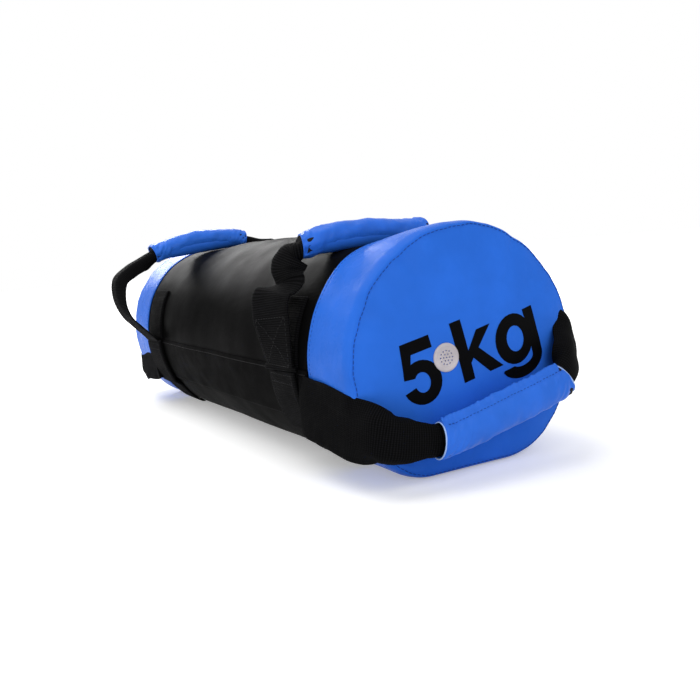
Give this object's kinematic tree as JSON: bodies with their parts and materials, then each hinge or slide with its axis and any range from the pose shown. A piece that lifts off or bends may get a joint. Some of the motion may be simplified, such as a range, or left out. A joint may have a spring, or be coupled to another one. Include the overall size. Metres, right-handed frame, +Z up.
{
  "type": "fitness power bag",
  "caption": "Stuffed cylindrical training bag in black and blue vinyl that lies on the floor, with padded webbing handles across its top and its ends.",
  "frame": {"origin": "on the floor, at the middle of the flat that the lying bag rests on, halfway between its two end seams", "axes": "+X along the bag to the near end, the one with the vent eyelet; +Z up; the bag lies rolled by 12.5 degrees about its own axis, its top towards -Y"},
  "size_m": [0.6642, 0.2554, 0.2035],
  "materials": {
    "blue_vinyl": "satin",
    "black_vinyl": "matte",
    "black_webbing": "matte",
    "vent_plastic": "satin",
    "grip_foam": "matte",
    "liner_cloth": "matte",
    "packed_filling": "matte"
  },
  "bodies": {
    "bag": {"barrel_shell": "black_vinyl", "near_side_band": "blue_vinyl", "far_side_band": "blue_vinyl", "near_end_disc": "blue_vinyl", "far_end_disc": "blue_vinyl", "side_strip_left": "black_vinyl", "side_strip_right": "black_vinyl", "near_top_anchor_left": "black_webbing", "near_top_anchor_right": "black_webbing", "far_top_anchor_left": "black_webbing", "far_top_anchor_right": "black_webbing", "near_top_tail_left": "black_webbing", "near_top_tail_right": "black_webbing", "far_top_tail_left": "black_webbing", "far_top_tail_right": "black_webbing", "near_end_anchor_left": "black_webbing", "near_end_anchor_right": "black_webbing", "far_end_anchor_left": "black_webbing", "far_end_anchor_right": "black_webbing", "vent_eyelet": "vent_plastic", "vent_washer": "vent_plastic", "inner_liner": "liner_cloth", "filling": "packed_filling"},
    "near_top_handle": {"near_top_webbing": "black_webbing", "near_top_sleeve": "blue_vinyl", "near_top_foam": "grip_foam"},
    "far_top_handle": {"far_top_webbing": "black_webbing", "far_top_sleeve": "blue_vinyl", "far_top_foam": "grip_foam"},
    "near_end_handle": {"near_end_webbing": "black_webbing", "near_end_sleeve": "blue_vinyl", "near_end_foam": "grip_foam"},
    "far_end_handle": {"far_end_webbing": "black_webbing", "far_end_sleeve": "blue_vinyl", "far_end_foam": "grip_foam"}
  },
  "joints": [
    {"name": "near_top_lift", "type": "slide", "parent": "bag", "child": "near_top_handle", "axis": [0, -0.2164, 0.9763], "range_m": [0, 0.025]},
    {"name": "far_top_lift", "type": "slide", "parent": "bag", "child": "far_top_handle", "axis": [0, -0.2164, 0.9763], "range_m": [0, 0.025]},
    {"name": "near_end_swing", "type": "hinge", "parent": "bag", "child": "near_end_handle", "pos_m": [0.2345, 0.00173, 0.07669], "axis": [0, -0.9763, -0.2164], "range_deg": [0, 30]},
    {"name": "far_end_swing", "type": "hinge", "parent": "bag", "child": "far_end_handle", "pos_m": [-0.2345, 0.00173, 0.07669], "axis": [0, 0.9763, 0.2164], "range_deg": [0, 30]}
  ]
}
